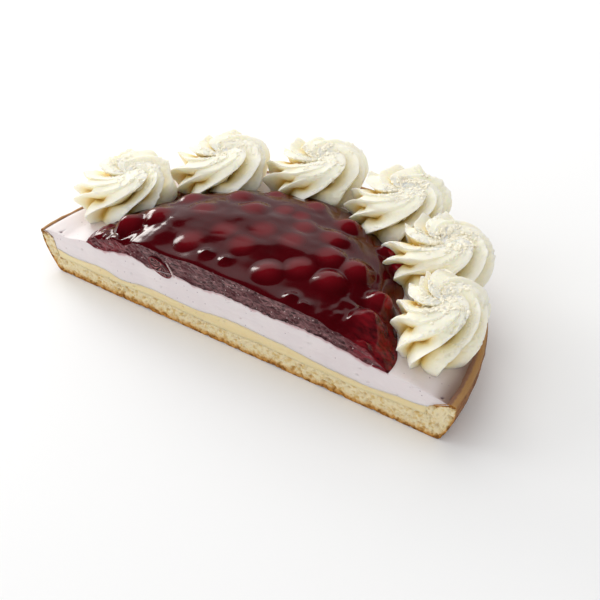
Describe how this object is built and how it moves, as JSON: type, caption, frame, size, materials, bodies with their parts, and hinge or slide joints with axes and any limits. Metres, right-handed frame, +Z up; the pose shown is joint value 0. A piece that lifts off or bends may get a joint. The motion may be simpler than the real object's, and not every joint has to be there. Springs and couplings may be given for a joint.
{
  "type": "cherry cream flan half",
  "caption": "Half of a round flan with custard, cream and a cherry jelly mound, cut along its diameter, with piped cream rosettes along the rim.",
  "frame": {"origin": "centre of the bounding box on the underside, where the flan half rests", "axes": "+X along the cut from its thin-walled end to its thick-walled end, +Y from the cut face to the round back, +Z up"},
  "size_m": [0.28, 0.1448, 0.0569],
  "materials": {
    "crust": "matt, baked",
    "custard": "smooth, moist",
    "cream": "matt, fine pores",
    "jelly": "wet gloss",
    "cherry": "wet gloss",
    "rosette": "matt, whipped"
  },
  "bodies": {
    "root": {"cherry_01": "cherry", "cherry_02": "cherry", "cherry_03": "cherry", "cherry_04": "cherry", "cherry_05": "cherry", "cherry_06": "cherry", "cherry_07": "cherry", "cherry_08": "cherry", "cherry_09": "cherry", "cherry_10": "cherry", "cherry_11": "cherry", "cherry_12": "cherry", "cherry_13": "cherry", "cherry_14": "cherry", "cherry_15": "cherry", "cherry_16": "cherry", "cherry_17": "cherry", "cherry_18": "cherry", "cherry_19": "cherry", "cherry_20": "cherry", "cherry_21": "cherry", "cherry_22": "cherry", "cherry_23": "cherry", "cherry_24": "cherry", "cherry_25": "cherry", "cherry_26": "cherry", "cherry_27": "cherry", "cherry_28": "cherry", "cherry_jelly": "jelly", "cream_layer": "cream", "crust": "crust", "custard": "custard", "rosette_1": "rosette", "rosette_2": "rosette", "rosette_3": "rosette", "rosette_4": "rosette", "rosette_5": "rosette", "rosette_6": "rosette"}
  },
  "joints": []
}
